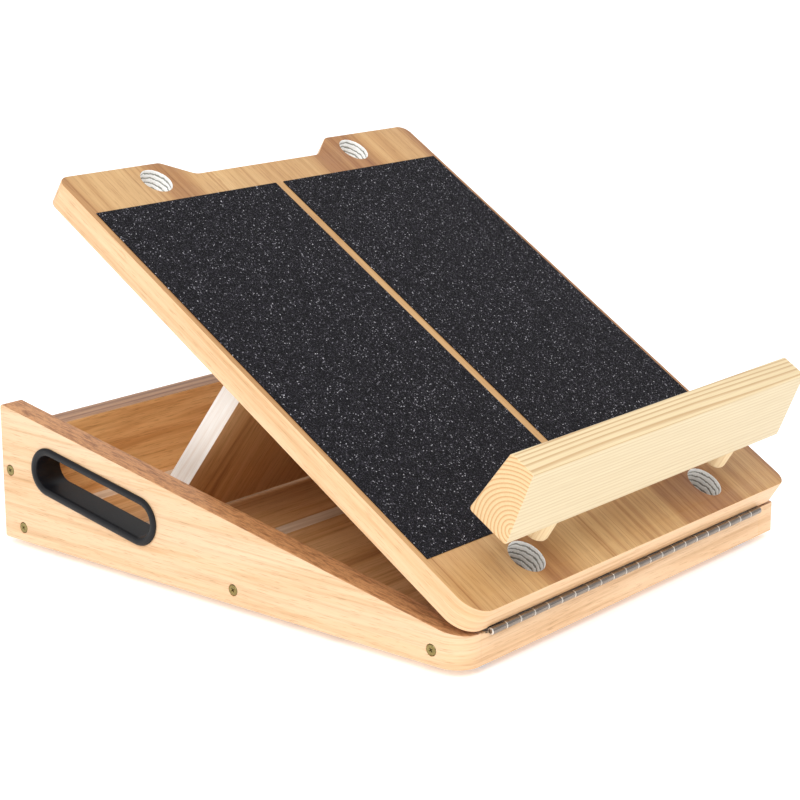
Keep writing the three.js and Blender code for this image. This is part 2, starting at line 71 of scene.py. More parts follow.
CAD_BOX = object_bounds()


# ---------------------------------------------------------------- places taken from the frame
def low(node):
    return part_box(node)[0]


def high(node):
    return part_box(node)[1]


def joint(name):
    return next(j for j in frame["joints"] if j["name"] == name)


BASE_Z = low("base_board").z
FLOOR_Z = high("base_board").z
FRONT_Y = low("base_board").y
REAR_Y = high("base_board").y
HALF_W = high("right_side_panel").x
INNER_X = low("right_side_panel").x
PIN = Vector(joint("tread_fold")["pos_m"])
NORMAL = Vector(joint("stopper_lift")["axis"])
TILT = math.atan2(-NORMAL.y, NORMAL.z)
TREAD_FRAME = Matrix.Translation(PIN) @ Matrix.Rotation(TILT, 4, "X")
PROP_PIN = Vector(joint("prop_fold")["pos_m"])
PROP_LEAN = math.radians(-53.5)  # of the prop at rest, down from the horizontal
PROP_FRAME = Matrix.Translation(PROP_PIN) @ Matrix.Rotation(PROP_LEAN, 4, "X")
IDENTITY = Matrix.Identity(4)


def local_span(node, to_world):
    """Lowest and highest corner of a CAD node, measured in a turned frame."""
    to_local = to_world.inverted()
    points = [to_local @ v.co for v in frame["nodes"][node].data.vertices]
    lows = Vector(min(p[i] for p in points) for i in range(3))
    highs = Vector(max(p[i] for p in points) for i in range(3))
    return lows, highs


# ---------------------------------------------------------------- node helpers
class Nodes:
    """A thin wrapper that adds shader nodes and links them in one call."""

    def __init__(self, name):
        self.material = bpy.data.materials.new(name)
        self.material.use_nodes = True
        self.tree = self.material.node_tree
        self.shader = self.tree.nodes["Principled BSDF"]

    def add(self, kind, inputs=None, **settings):
        node = self.tree.nodes.new("ShaderNode" + kind)
        for key, value in settings.items():
            setattr(node, key, value)
        for key, value in (inputs or {}).items():
            self.feed(node.inputs[key], value)
        return node

    def feed(self, socket, value):
        if isinstance(value, bpy.types.NodeSocket):
            self.tree.links.new(value, socket)
        else:
            socket.default_value = value

    def math(self, operation, *values):
        node = self.add("Math", operation=operation)
        for i, value in enumerate(values):
            self.feed(node.inputs[i], value)
        return node.outputs[0]

    def ramp(self, value, stops):
        node = self.add("ValToRGB", {"Fac": value})
        elements = node.color_ramp.elements
        while len(elements) < len(stops):
            elements.new(0.5)
        for element, (place, colour) in zip(elements, stops):
            element.position = place
            element.color = colour if len(colour) == 4 else (*colour, 1)
        return node.outputs["Color"]

    def mix(self, factor, a, b, blend="MIX"):
        node = self.add("Mix", data_type="RGBA", blend_type=blend)
        self.feed(node.inputs[0], factor)
        self.feed(node.inputs[6], a)
        self.feed(node.inputs[7], b)
        return node.outputs[2]

    def place(self, to_world, turn=(0, 0, 0), shift=(0, 0, 0)):
        """Object coordinates seen from a turned frame, then turned and shifted."""
        coords = self.add("TexCoord").outputs["Object"]
        to_local = to_world.inverted()
        first = self.add("Mapping", {
            "Vector": coords,
            "Location": to_local.to_translation(),
            "Rotation": to_local.to_euler(),
        })
        second = self.add("Mapping", {
            "Vector": first.outputs[0],
            "Location": shift,
            "Rotation": turn,
        })
        return second.outputs[0]

    def wrapped(self, to_world, band, seed):
        """Coordinates that run round a band's two front corners: X follows the edge, Z goes across it."""
        front, radius_left, radius_right = band
        parts = self.add("SeparateXYZ", {0: self.place(to_world)}).outputs
        x, y = parts["X"], parts["Y"]
        right = self.math("GREATER_THAN", x, 0.0)
        radius = self.math("MULTIPLY_ADD", right, radius_right - radius_left, radius_left)
        centre_x = self.math("SUBTRACT", HALF_W, radius)
        beyond = self.math("SUBTRACT", self.math("ABSOLUTE", x), centre_x)
        behind = self.math("SUBTRACT", y, self.math("ADD", radius, front))
        angle = self.math("ARCTAN2", self.math("MAXIMUM", beyond, 0.0),
                          self.math("MAXIMUM", self.math("MULTIPLY", behind, -1.0), 1e-6))
        run = self.math("MULTIPLY_ADD", radius, angle, self.math("MAXIMUM", behind, 0.0))
        run = self.math("ADD", run, self.math("ADD", self.math("MINIMUM", beyond, 0.0), centre_x))
        run = self.math("MULTIPLY", run, self.math("MULTIPLY_ADD", right, 2.0, -1.0))
        return self.add("CombineXYZ", {0: run, 1: seed, 2: parts["Z"]}).outputs[0]

    def noise(self, vector, scale, detail=4.0, roughness=0.55, distortion=0.0):
        node = self.add("TexNoise", {
            "Vector": vector,
            "Scale": scale,
            "Detail": detail,
            "Roughness": roughness,
            "Distortion": distortion,
        })
        return node.outputs["Fac"]

    def stretched(self, vector, along, across):
        """Coordinates for a pattern that is drawn out along the X axis."""
        return self.add("Mapping", {"Vector": vector, "Scale": (along, across, across)}).outputs[0]

    def fibres(self, vector, along, across, detail=4.0, roughness=0.55, distortion=0.0):
        """Noise drawn out along the X axis. Along and across count its features per metre."""
        return self.noise(self.stretched(vector, along, across), 1.0, detail, roughness, distortion)

    def bump(self, height, strength, distance):
        node = self.add("Bump", {"Height": height, "Strength": strength, "Distance": distance})
        self.feed(self.shader.inputs["Normal"], node.outputs["Normal"])

    def set(self, **values):
        for key, value in values.items():
            self.feed(self.shader.inputs[key.replace("_", " ")], value)


def srgb(r, g, b):
    """A colour given as 0 to 255 screen values, as the shader's linear colour."""
    def line(value):
        value /= 255
        return value / 12.92 if value <= 0.04045 else ((value + 0.055) / 1.055) ** 2.4
    return (line(r), line(g), line(b), 1)


# ---------------------------------------------------------------- materials
LACQUER = 0.42  # middle roughness of lacquered veneer


def laminate(name, to_world, turn, tones, plank, seed=0.0, band=None, joints=0.0):
    """Oak veneer with a satin lacquer. Tones are light, mid and dark; plank is the share of broad bands.

    Turn brings the grain onto the X axis of to_world. With a band the grain runs round the front corners
    instead. Joints is the strength of the dark lines between strips of veneer.
    """
    light, mid, dark = tones
    n = Nodes(name)
    shift = (seed * 1.7, seed * 0.9, seed)
    grain = n.wrapped(to_world, band, seed) if band else n.place(to_world, turn, shift)
    planks = n.fibres(grain, 0.35, 26, 2.0, 0.5, 0.3)
    figure = n.fibres(grain, 4.0, 75, 5.0, 0.62, 1.1)
    streaks = n.fibres(grain, 7.0, 330, 4.0, 0.6, 0.4)
    pores = n.fibres(grain, 75, 1500, 2.0, 0.5)
    tone = n.math("ADD", n.math("MULTIPLY", planks, plank), n.math("MULTIPLY", figure, 1 - plank))
    colour = n.ramp(tone, [(0.36, srgb(*dark)), (0.47, srgb(*mid)), (0.62, srgb(*light))])
    fine = n.ramp(streaks, [(0.34, (0.80, 0.74, 0.66)), (0.52, (1, 1, 1)), (0.7, (1.04, 1.04, 1.03))])
    colour = n.mix(0.75, colour, fine, "MULTIPLY")
    specks = n.ramp(pores, [(0.33, (0.62, 0.5, 0.38)), (0.42, (1, 1, 1))])
    colour = n.mix(0.55, colour, specks, "MULTIPLY")
    if joints:
        veins = n.math("ABSOLUTE", n.math("SUBTRACT", n.fibres(grain, 0.6, 44, 1.0), 0.5))
        lines = n.ramp(veins, [(0.0, (0.70, 0.56, 0.44)), (0.009, (0.92, 0.88, 0.84)), (0.02, (1, 1, 1))])
        colour = n.mix(joints, colour, lines, "MULTIPLY")
    satin = n.ramp(streaks, [(0.3, (LACQUER + 0.12,) * 3), (0.7, (LACQUER - 0.06,) * 3)])
    n.set(Base_Color=colour, Roughness=satin, Coat_Weight=0.15, Coat_Roughness=0.25)
    n.bump(n.math("ADD", n.math("MULTIPLY", pores, 0.5), streaks), 0.25, 0.00012)
    return n.material


def lined_edge(name, to_world, turn, light, dark, pitch):
    """An edge band whose print is close, straight dark lines along the X axis."""
    n = Nodes(name)
    grain = n.place(to_world, turn)
    lines = n.fibres(grain, 3.0, 1 / pitch, 4.0, 0.65, 0.5)
    dashes = n.fibres(grain, 45, 1600, 2.0, 0.5)
    colour = n.ramp(lines, [(0.36, srgb(*dark)), (0.56, srgb(*light))])
    specks = n.ramp(dashes, [(0.36, (0.66, 0.55, 0.45)), (0.46, (1, 1, 1))])
    n.set(Base_Color=n.mix(0.6, colour, specks, "MULTIPLY"), Roughness=0.5, Coat_Weight=0.1)
    n.bump(lines, 0.3, 0.0001)
    return n.material


def solid_pine(name, to_world, pith, ring, light, dark, contrast):
    """Solid softwood: growth rings, spaced by ring, round a pith line that runs along X."""
    n = Nodes(name)
    coords = n.place(to_world)
    wobble = n.stretched(coords, 1.6, 14)
    sway = n.add("TexNoise", {"Vector": wobble, "Scale": 1.0, "Detail": 2.0}).outputs["Color"]
    moved = n.add("VectorMath", {0: sway, 1: (0, 0.006, 0.006)}, operation="MULTIPLY_ADD")
    n.feed(moved.inputs[2], coords)
    parts = n.add("SeparateXYZ", {0: moved.outputs[0]})
    dy = n.math("SUBTRACT", parts.outputs["Y"], pith[0])
    dz = n.math("SUBTRACT", parts.outputs["Z"], pith[1])
    radius = n.math("SQRT", n.math("ADD", n.math("MULTIPLY", dy, dy), n.math("MULTIPLY", dz, dz)))
    saw = n.math("FRACT", n.math("DIVIDE", radius, ring))
    rings = n.ramp(saw, [(0.0, srgb(*light)), (0.45, srgb(*light)), (0.86, srgb(*dark)), (1.0, srgb(*light))])
    fibres = n.fibres(coords, 22, 1500, 3.0, 0.6)
    colour = n.mix(contrast, srgb(*light), rings)
    tint = n.ramp(fibres, [(0.3, (0.93, 0.90, 0.85)), (0.6, (1.02, 1.02, 1.01))])
    colour = n.mix(1.0, colour, tint, "MULTIPLY")
    n.set(Base_Color=colour, Roughness=0.5)
    n.bump(n.math("ADD", n.math("MULTIPLY", fibres, 0.6), saw), 0.2, 0.0001)
    return n.material


def bare_ply(name, to_world, axis, light, dark, layer):
    """Cut plies in the wall of a hole: thin pale and dark layers across one axis."""
    n = Nodes(name)
    coords = n.place(to_world)
    parts = n.add("SeparateXYZ", {0: coords})
    rough = n.noise(coords, 190, 4.0, 0.65)
    depth = n.math("ADD", parts.outputs[axis], n.math("MULTIPLY", rough, 0.0034))
    stripes = n.math("SINE", n.math("MULTIPLY", depth, 2 * math.pi / layer))
    colour = n.ramp(n.math("MULTIPLY_ADD", stripes, 0.5, 0.5), [(0.06, srgb(*dark)), (0.3, srgb(*light))])
    fuzz = n.noise(coords, 1500, 3.0, 0.7)
    colour = n.mix(0.5, colour, n.ramp(fuzz, [(0.3, (0.86, 0.85, 0.84)), (0.6, (1, 1, 1))]), "MULTIPLY")
    n.set(Base_Color=colour, Roughness=0.8)
    n.bump(n.math("ADD", stripes, fuzz), 0.5, 0.0002)
    return n.material


def raw_poplar(name, to_world, turn, light, dark):
    """Bare pale wood with soft fibres along the X axis."""
    n = Nodes(name)
    grain = n.place(to_world, turn)
    fibres = n.fibres(grain, 9, 260, 5.0, 0.65, 0.4)
    close = n.fibres(grain, 60, 1800, 2.0)
    colour = n.ramp(fibres, [(0.32, srgb(*dark)), (0.58, srgb(*light))])
    n.set(Base_Color=colour, Roughness=0.75)
    n.bump(n.math("ADD", fibres, close), 0.3, 0.00015)
    return n.material


def grit(name):
    """Dark mineral grains in black resin: every grain has its own tone, the lightest few are painted grey to
    near-white as painted glints, and a few catch the light through a lower roughness.
    """
    n = Nodes(name)
    coords = n.place(TREAD_FRAME)
    grains = n.add("TexVoronoi", {"Vector": coords, "Scale": 1700.0})
    tone = n.add("SeparateColor", {0: grains.outputs["Color"]})
    cloud = n.noise(coords, 95, 3.0, 0.6)
    # the last two stops paint the lightest grains grey to near-white: painted glints
    base = n.ramp(tone.outputs["Red"], [
        (0.0, srgb(7, 6, 9)),
        (0.55, srgb(17, 16, 21)),
        (0.86, srgb(36, 34, 41)),
        (0.97, srgb(66, 63, 71)),
        (0.99, srgb(150, 148, 156)),
        (1.0, srgb(225, 225, 230)),
    ])
    patches = n.ramp(cloud, [(0.3, (0.78, 0.78, 0.8)), (0.7, (1.2, 1.18, 1.2))])
    shine = n.ramp(tone.outputs["Green"], [(0.7, (0.95, 0.95, 0.95)), (0.97, (0.3, 0.3, 0.3))])
    n.set(Base_Color=n.mix(1.0, base, patches, "MULTIPLY"), Roughness=shine, Specular_IOR_Level=0.22)
    height = n.math("ADD", n.math("MULTIPLY", tone.outputs["Blue"], 0.8), grains.outputs["Distance"])
    n.bump(height, 0.8, 0.0004)
    return n.material


def metal(name, colour, roughness, brushed, worn):
    """Bare or plated metal. Brushed is its scratches per metre, along and across X; worn its tone range."""
    n = Nodes(name)
    coords = n.place(IDENTITY)
    scratch = n.fibres(coords, *brushed, 3.0, 0.6)
    stain = n.noise(coords, 220, 4.0, 0.6)
    tint = n.ramp(stain, [(0.3, (worn[0],) * 3), (0.7, (worn[1],) * 3)])
    n.set(Base_Color=n.mix(1.0, srgb(*colour), tint, "MULTIPLY"), Metallic=1.0)
    n.set(Roughness=n.ramp(scratch, [(0.3, (roughness - 0.08,) * 3), (0.7, (roughness + 0.12,) * 3)]))
    n.bump(scratch, 0.15, 0.00005)
    return n.material


def moulded_plastic(name, colour):
    """Dark plastic with the fine texture of its mould."""
    n = Nodes(name)
    coords = n.place(IDENTITY)
    texture = n.noise(coords, 2600, 3.0, 0.6)
    haze = n.noise(coords, 60, 3.0, 0.5)
    tint = n.ramp(haze, [(0.3, srgb(*[c * 0.85 for c in colour])), (0.7, srgb(*[c * 1.12 for c in colour]))])
    n.set(Base_Color=tint, Roughness=n.ramp(texture, [(0.3, (0.34,) * 3), (0.7, (0.5,) * 3)]))
    n.set(Specular_IOR_Level=0.3)
    n.bump(texture, 0.12, 0.0001)
    return n.material


def clear_rubber(name):
    """Cloudy, slightly see-through rubber."""
    n = Nodes(name)
    haze = n.noise(n.place(IDENTITY), 300, 3.0, 0.6)
    n.set(Base_Color=n.ramp(haze, [(0.3, srgb(168, 170, 186)), (0.7, srgb(208, 210, 222))]))
    n.set(Roughness=n.ramp(haze, [(0.3, (0.22,) * 3), (0.7, (0.34,) * 3)]))
    n.set(Transmission_Weight=0.15, IOR=1.42)
    n.bump(haze, 0.1, 0.0001)
    return n.material


ALONG_X = (0, 0, 0)
ALONG_Y = (0, 0, math.radians(-90))
SIDE_CORNERS = {-1: 16 * MM, 1: 1.5 * MM}  # front corner radii, left and right
TREAD_CORNERS = {-1: 17 * MM, 1: 9 * MM}
BOX_BAND = (FRONT_Y, SIDE_CORNERS[-1], SIDE_CORNERS[1])
TREAD_BAND = (local_span("tread_board", TREAD_FRAME)[0].y, TREAD_CORNERS[-1], TREAD_CORNERS[1])
BOX_OAK = (243, 208, 170), (236, 197, 154), (217, 171, 122)
# The honey tones inside are darker than the outside oak: partly the inner veneer's warmer colour and partly
# painted shade. Floor and prop, sides and rear each get their own copy, set for how light falls on each face.
HONEY_SHADED = (232, 188, 136), (216, 166, 110), (184, 130, 78)
HONEY_SIDE_SHADED = (242, 200, 140), (230, 182, 120), (200, 146, 86)
HONEY_REAR_LIT = (252, 214, 156), (244, 200, 140), (218, 166, 106)
TREAD_OAK = (214, 174, 120), (194, 148, 94), (162, 110, 62)
TREAD_EDGE = (242, 202, 158), (234, 190, 142), (217, 168, 116)
PLY = 3.6 * MM
BAR_PITH = (25 * MM, 64 * MM)  # Y and Z in the tread frame
DOWEL_PITH = (10 * MM, 80 * MM)
DOWEL_FRAME = TREAD_FRAME @ Matrix.Rotation(math.radians(-90), 4, "Y")

side_face = laminate("oak_side", IDENTITY, ALONG_Y, BOX_OAK, 0.35, band=BOX_BAND)
rear_outer = laminate("oak_rear", IDENTITY, ALONG_X, BOX_OAK, 0.35, seed=8.0)
side_top = lined_edge("oak_side_top", IDENTITY, ALONG_Y, (212, 156, 106), (158, 106, 66), 1.9 * MM)
# inner faces: the honey veneer in three copies, darkest on the floor and lightest at the rear: painted light
# and shade
inner_face = laminate("honey_inside", IDENTITY, ALONG_X, HONEY_SHADED, 0.3, seed=3.0)
inner_side = laminate("honey_side", IDENTITY, ALONG_Y, HONEY_SIDE_SHADED, 0.3, seed=5.0)
rear_face = laminate("honey_rear", IDENTITY, ALONG_X, HONEY_REAR_LIT, 0.3, seed=9.0)
back_top = lined_edge("oak_back_top", IDENTITY, ALONG_X, (184, 144, 112), (142, 104, 78), 2.8 * MM)
groove_wood = raw_poplar("bare_groove", IDENTITY, ALONG_X, (230, 208, 184), (198, 168, 136))
tread_face = laminate("oak_tread", TREAD_FRAME, ALONG_Y, TREAD_OAK, 0.72, seed=1.0, joints=0.8)
tread_side = laminate("oak_tread_side", TREAD_FRAME, ALONG_Y, TREAD_EDGE, 0.3, seed=2.0, band=TREAD_BAND)
tread_rear = laminate("oak_tread_rear", TREAD_FRAME, ALONG_X, TREAD_EDGE, 0.3, seed=4.0)
hole_wall = bare_ply("ply_hole", TREAD_FRAME, "Z", (255, 255, 253), (142, 142, 134), PLY)
slot_wall = bare_ply("ply_slot", IDENTITY, "X", (226, 205, 172), (170, 140, 104), PLY)
# the prop's faces use the darker honey: painted shade
prop_face = laminate("oak_prop", PROP_FRAME, ALONG_Y, HONEY_SHADED, 0.5, seed=6.0)
# near-white: the pale raw edge is lifted brighter than the wood itself to stand for light falling on it, a
# painted highlight
prop_edge_lit = raw_poplar("bare_prop_edge", PROP_FRAME, ALONG_Y, (255, 251, 245), (236, 222, 208))
rail_wood = raw_poplar("bare_rail", TREAD_FRAME, ALONG_X, (236, 214, 178), (206, 176, 134))
bar_side = solid_pine("pine_bar", TREAD_FRAME, BAR_PITH, 2.6 * MM, (228, 211, 176), (204, 174, 128), 0.5)
bar_top = solid_pine("pine_bar_top", TREAD_FRAME, BAR_PITH, 1.3 * MM, (230, 209, 168), (188, 146, 98), 0.8)
bar_end = solid_pine("pine_bar_end", TREAD_FRAME, BAR_PITH, 2.6 * MM, (240, 203, 155), (204, 154, 100), 0.95)
dowel_wood = solid_pine("pine_dowel", DOWEL_FRAME, DOWEL_PITH, 2.2 * MM, (244, 220, 178), (226, 190, 138),
                        0.5)
grip = grit("mineral_grit")
steel = metal("hinge_steel", (140, 131, 124), 0.24, (14, 420), (0.92, 1.05))
# brighter metal for the knuckles' trimmed ends: a painted highlight where the gaps between knuckles catch
# light
cut_steel_glint = metal("cut_steel_glint", (226, 222, 216), 0.38, (600, 600), (0.9, 1.1))
zinc = metal("yellow_zinc", (150, 136, 88), 0.3, (600, 600), (0.8, 1.1))
plastic = moulded_plastic("black_plastic", (15, 15, 19))
rubber = clear_rubber("clear_rubber")


# ---------------------------------------------------------------- mesh helpers
def rounded(corners, steps=10):
    """A closed outline from corners (x, y, radius), with true arcs."""
    points = []
    for i, (x, y, radius) in enumerate(corners):
        here = Vector((x, y))
        if radius <= 0:
            points.append(here)
            continue
        back = (Vector(corners[i - 1][:2]) - here).normalized()
        ahead = (Vector(corners[(i + 1) % len(corners)][:2]) - here).normalized()
        half = back.angle(ahead) / 2
        centre = here + (back + ahead).normalized() * (radius / math.sin(half))
        start = here + back * (radius / math.tan(half)) - centre
        end = here + ahead * (radius / math.tan(half)) - centre
        sweep = start.angle_signed(end)
        for k in range(steps + 1):
            turned = start.copy()
            turned.rotate(Matrix.Rotation(-sweep * k / steps, 2))
            points.append(centre + turned)
    return points


def circle(x, y, radius, steps=56):
    """A closed outline round (x, y)."""
    return [Vector((x + radius * math.cos(a), y + radius * math.sin(a)))
            for a in (2 * math.pi * k / steps for k in range(steps))]


def oblong(cx, cy, length, radius, lean, steps=28):
    """A closed outline with straight sides and round ends, turned by lean."""
    half = length / 2 - radius
    turn = Matrix.Rotation(lean, 2)
    points = []
    for end in (1, -1):
        for k in range(steps + 1):
            a = -math.pi / 2 + math.pi * k / steps + (0 if end > 0 else math.pi)
            p = Vector((end * half + radius * math.cos(a), radius * math.sin(a)))
            points.append(turn @ p + Vector((cx, cy)))
    return points


def new_object(name, data):
    piece = bpy.data.objects.new(name, data)
    bpy.context.scene.collection.objects.link(piece)
    return piece


EDGE_STEPS = 3


def slab(outline, holes, z0, z1, edge):
    """A bmesh: an outline with holes, filled and extruded in Z, its long edges rounded by edge."""
    curve = bpy.data.curves.new("slab", "CURVE")
    curve.dimensions = "2D"
    curve.fill_mode = "BOTH"
    curve.extrude = (z1 - z0) / 2 - edge
    curve.bevel_depth = edge
    curve.bevel_resolution = EDGE_STEPS
    curve.offset = -edge
    for loop in [outline] + holes:
        spline = curve.splines.new("POLY")
        spline.points.add(len(loop) - 1)
        for point, place in zip(spline.points, loop):
            point.co = (place.x, place.y, 0, 1)
        spline.use_cyclic_u = True
    holder = new_object("slab", curve)
    depsgraph = bpy.context.evaluated_depsgraph_get()
    mesh = bpy.data.meshes.new_from_object(holder.evaluated_get(depsgraph))
    bpy.data.objects.remove(holder)
    bm = bmesh.new()
    bm.from_mesh(mesh)
    bpy.data.meshes.remove(mesh)
    bmesh.ops.remove_doubles(bm, verts=bm.verts, dist=1e-6)
    bmesh.ops.translate(bm, verts=bm.verts, vec=(0, 0, (z0 + z1) / 2))
    bmesh.ops.recalc_face_normals(bm, faces=bm.faces)
    return bm


def lathe(profile, steps=40):
    """A bmesh turned round Z from (radius, z) points; points on the axis close the ends."""
    bm = bmesh.new()
    rings = []
    for radius, z in profile:
        if radius < 1e-9:
            rings.append([bm.verts.new((0, 0, z))])
        else:
            rings.append([bm.verts.new((radius * math.cos(a), radius * math.sin(a), z))
                          for a in (2 * math.pi * k / steps for k in range(steps))])
    for a, b in zip(rings, rings[1:]):
        for k in range(steps):
            quad = [a[k % len(a)], a[(k + 1) % len(a)], b[(k + 1) % len(b)], b[k % len(b)]]
            corners = list(dict.fromkeys(quad))
            if len(corners) > 2:
                bm.faces.new(corners)
    bmesh.ops.recalc_face_normals(bm, faces=bm.faces)
    return bm


def cut(bm, cutter):
    """Subtracts one bmesh from another with an exact boolean."""
    meshes = []
    for part in (bm, cutter):
        mesh = bpy.data.meshes.new("cut")
        part.to_mesh(mesh)
        part.free()
        meshes.append(mesh)
    body, tool = (new_object("cut", mesh) for mesh in meshes)
    modifier = body.modifiers.new("cut", "BOOLEAN")
    modifier.operation = "DIFFERENCE"
    modifier.solver = "EXACT"
    modifier.object = tool
    result = bpy.data.meshes.new_from_object(body.evaluated_get(bpy.context.evaluated_depsgraph_get()))
    out = bmesh.new()
    out.from_mesh(result)
    for item in (body, tool):
        bpy.data.objects.remove(item)
    for mesh in meshes + [result]:
        bpy.data.meshes.remove(mesh)
    return out


def join(parts):
    """One bmesh out of several."""
    out = bmesh.new()
    for part in parts:
        mesh = bpy.data.meshes.new("join")
        part.to_mesh(mesh)
        part.free()
        out.from_mesh(mesh)
        bpy.data.meshes.remove(mesh)
    return out


def finish_piece(name, bm, to_world, body, nodes, materials, pick=None, smooth_angle=30):
    """Paints faces, moves the mesh to its place, hangs the piece on its body and hides the CAD nodes it
    stands for.

    Faces are smooth up to smooth_angle, except those square to an axis, which stay flat.
    """
    bm.normal_update()
    for face in bm.faces:
        face.smooth = True
        if pick:
            face.material_index = pick(face.calc_center_median(), face.normal)
        if max(abs(c) for c in face.normal) > 0.99999:
            face.smooth = False
    mesh = bpy.data.meshes.new(name)
    bm.to_mesh(mesh)
    bm.free()
    mesh.transform(to_world)
    for material in materials:
        mesh.materials.append(material)
    mesh.set_sharp_from_angle(angle=math.radians(smooth_angle))
    piece = new_object(name, mesh)
    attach(piece, body)
    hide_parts(*nodes)


YZ_PLANE = Matrix(((0, 0, 1, 0), (1, 0, 0, 0), (0, 1, 0, 0), (0, 0, 0, 1)))  # drawn in Y and Z, thick in X
EDGE = 0.7 * MM


# ---------------------------------------------------------------- box
SIDE_SLOPE = math.atan2(74.8, 400)  # rise and run of the side panels' top edge
SIDE_SCREW_R = 3.5 * MM
SIDE_WELL_R = 3.75 * MM
SIDE_FOOT_R, SIDE_TOP_R, BACK_TOP_R = 1.8 * MM, 2.2 * MM, 0.8 * MM
CORNER_STEPS = 16
GROOVE_W = 13.9 * MM
FIRST_GROOVE, GROOVE_PITCH, GROOVE_COUNT = 212.3 * MM, 76.2 * MM, 3
GROOVE_LIPS = [FRONT_Y + FIRST_GROOVE + i * GROOVE_PITCH for i in range(GROOVE_COUNT)]
GROOVE_LIP_R = 0.5 * MM
LEAF_PLAY = 0.4 * MM  # room beyond a hinge leaf in its housing
LEAF_FLOOR_DROP = 1.2 * MM  # from the screws' tops to the floor of the lower leaf's housing
LINER_LIP = 2.8 * MM
LINER_WALL = 2.6 * MM


def slot_centre():
    lo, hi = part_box("left_slot_liner")
    return (lo.y + hi.y) / 2, (lo.z + hi.z) / 2


SLOT_Y, SLOT_Z = slot_centre()
LINER_L = 121 * MM
LINER_R = 16.8 * MM


def front_height():
    """Top of the side panels where they start, at the box's front."""
    return max(v.co.z for v in frame["nodes"]["left_side_panel"].data.vertices if v.co.y < FRONT_Y + MM)


def side_panel(word, side):
    """A tapering panel with a hand slot and screw wells, its outer face rounded at the front."""
    top = high("left_side_panel").z
    outline = rounded([
        (FRONT_Y, BASE_Z, 0),
        (REAR_Y, BASE_Z, SIDE_FOOT_R),
        (REAR_Y, top, SIDE_TOP_R),
        (FRONT_Y, front_height(), 0),
    ])
    slot = oblong(SLOT_Y, SLOT_Z, LINER_L - 2 * LINER_LIP, LINER_R - LINER_LIP, SIDE_SLOPE)
    wells = []
    for name in frame["nodes"]:
        if name.startswith(word + "_side_screw"):
            lo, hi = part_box(name)
            wells.append(circle((lo.y + hi.y) / 2, (lo.z + hi.z) / 2, SIDE_WELL_R, 32))
    bm = slab(outline, [slot] + wells, INNER_X, HALF_W, EDGE)
    corner = SIDE_CORNERS[side]
    for k in range(1, CORNER_STEPS + 1):
        y = FRONT_Y + corner * (1 - math.cos(math.pi / 2 * k / CORNER_STEPS))
        bmesh.ops.bisect_plane(bm, geom=bm.verts[:] + bm.edges[:] + bm.faces[:],
                               plane_co=(y, 0, 0), plane_no=(1, 0, 0))
    thick = HALF_W - INNER_X
    for v in bm.verts:
        run = v.co.x - FRONT_Y
        if run < corner:
            reach = max(0.0, corner ** 2 - (corner - run) ** 2)
            share = (thick - corner + math.sqrt(reach)) / thick
            v.co.z = INNER_X + (v.co.z - INNER_X) * share
    mirror = Matrix.Diagonal((side, 1, 1, 1))
    slot_half = LINER_L / 2 - LINER_LIP + MM
    rear_edge = REAR_Y - 20 * MM

    def pick(centre, normal):
        normal = normal * side
        along = Vector((centre.x - SLOT_Y, centre.y - SLOT_Z))
        if abs(normal.z) < 0.5 and along.length < slot_half and centre.x < rear_edge:
            return 3
        if normal.y > 0.8:
            return 1
        if normal.z < -0.6:
            return 2
        return 0
    placed = mirror @ YZ_PLANE
    if side < 0:
        bmesh.ops.reverse_faces(bm, faces=bm.faces)
    finish_piece(f"{word}_side", bm, placed, "box", [f"{word}_side_panel"],
                 [side_face, side_top, inner_side, slot_wall], pick)


def floor_board():
    """The base board, with V grooves for the prop's foot and a housing for the hinge's lower leaf."""
    steep = math.tan(-PROP_LEAN)
    depth = GROOVE_W / (steep + 1 / steep)
    points = [(FRONT_Y, BASE_Z, 0), (REAR_Y, BASE_Z, 0), (REAR_Y, FLOOR_Z, 0)]
    for lip in reversed(GROOVE_LIPS):
        points += [
            (lip + GROOVE_W, FLOOR_Z, GROOVE_LIP_R),
            (lip + depth / steep, FLOOR_Z - depth, 0),
            (lip, FLOOR_Z, GROOVE_LIP_R),
        ]
    points += [(FRONT_Y, FLOOR_Z, 1.0 * MM)]
    bm = slab(rounded(points, 5), [], -INNER_X, INNER_X, 0.0)
    leaf_end = high("hinge_leaf_lower").y + LEAF_PLAY
    leaf_floor = high("hinge_screw_lower_1").z - LEAF_FLOOR_DROP
    reach = high("hinge_leaf_lower").x + MM
    bm = cut(bm, block((FRONT_Y - 2 * MM, leaf_floor, -reach), (leaf_end, leaf_floor + 10 * MM, reach)))
    margin = 0.1 * MM

    def pick(centre, normal):
        in_groove = any(lip - margin < centre.x < lip + GROOVE_W + margin for lip in GROOVE_LIPS)
        if in_groove and normal.y > 0.1 and abs(normal.x) > 0.2:
            return 2
        if normal.x < -0.5:
            return 0
        return 3 if normal.x > 0.5 else 1
    finish_piece("floor_board", bm, YZ_PLANE, "box", ["base_board"],
                 [side_face, inner_face, groove_wood, rear_outer], pick)


def rear_board():
    """The back panel, whose top edge follows the slope of the sides."""
    lo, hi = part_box("back_panel")
    drop = (hi.y - lo.y) * math.tan(SIDE_SLOPE)
    outline = rounded([
        (lo.y, FLOOR_Z, 0),
        (hi.y, FLOOR_Z, 0),
        (hi.y, hi.z, BACK_TOP_R),
        (lo.y, hi.z - drop, BACK_TOP_R),
    ], 4)
    bm = slab(outline, [], -INNER_X, INNER_X, 0.0)

    def pick(centre, normal):
        if normal.y > 0.6:
            return 1
        return 2 if normal.x > 0.5 else 0
    finish_piece("rear_board", bm, YZ_PLANE, "box", ["back_panel"],
                 [rear_face, back_top, rear_outer], pick)


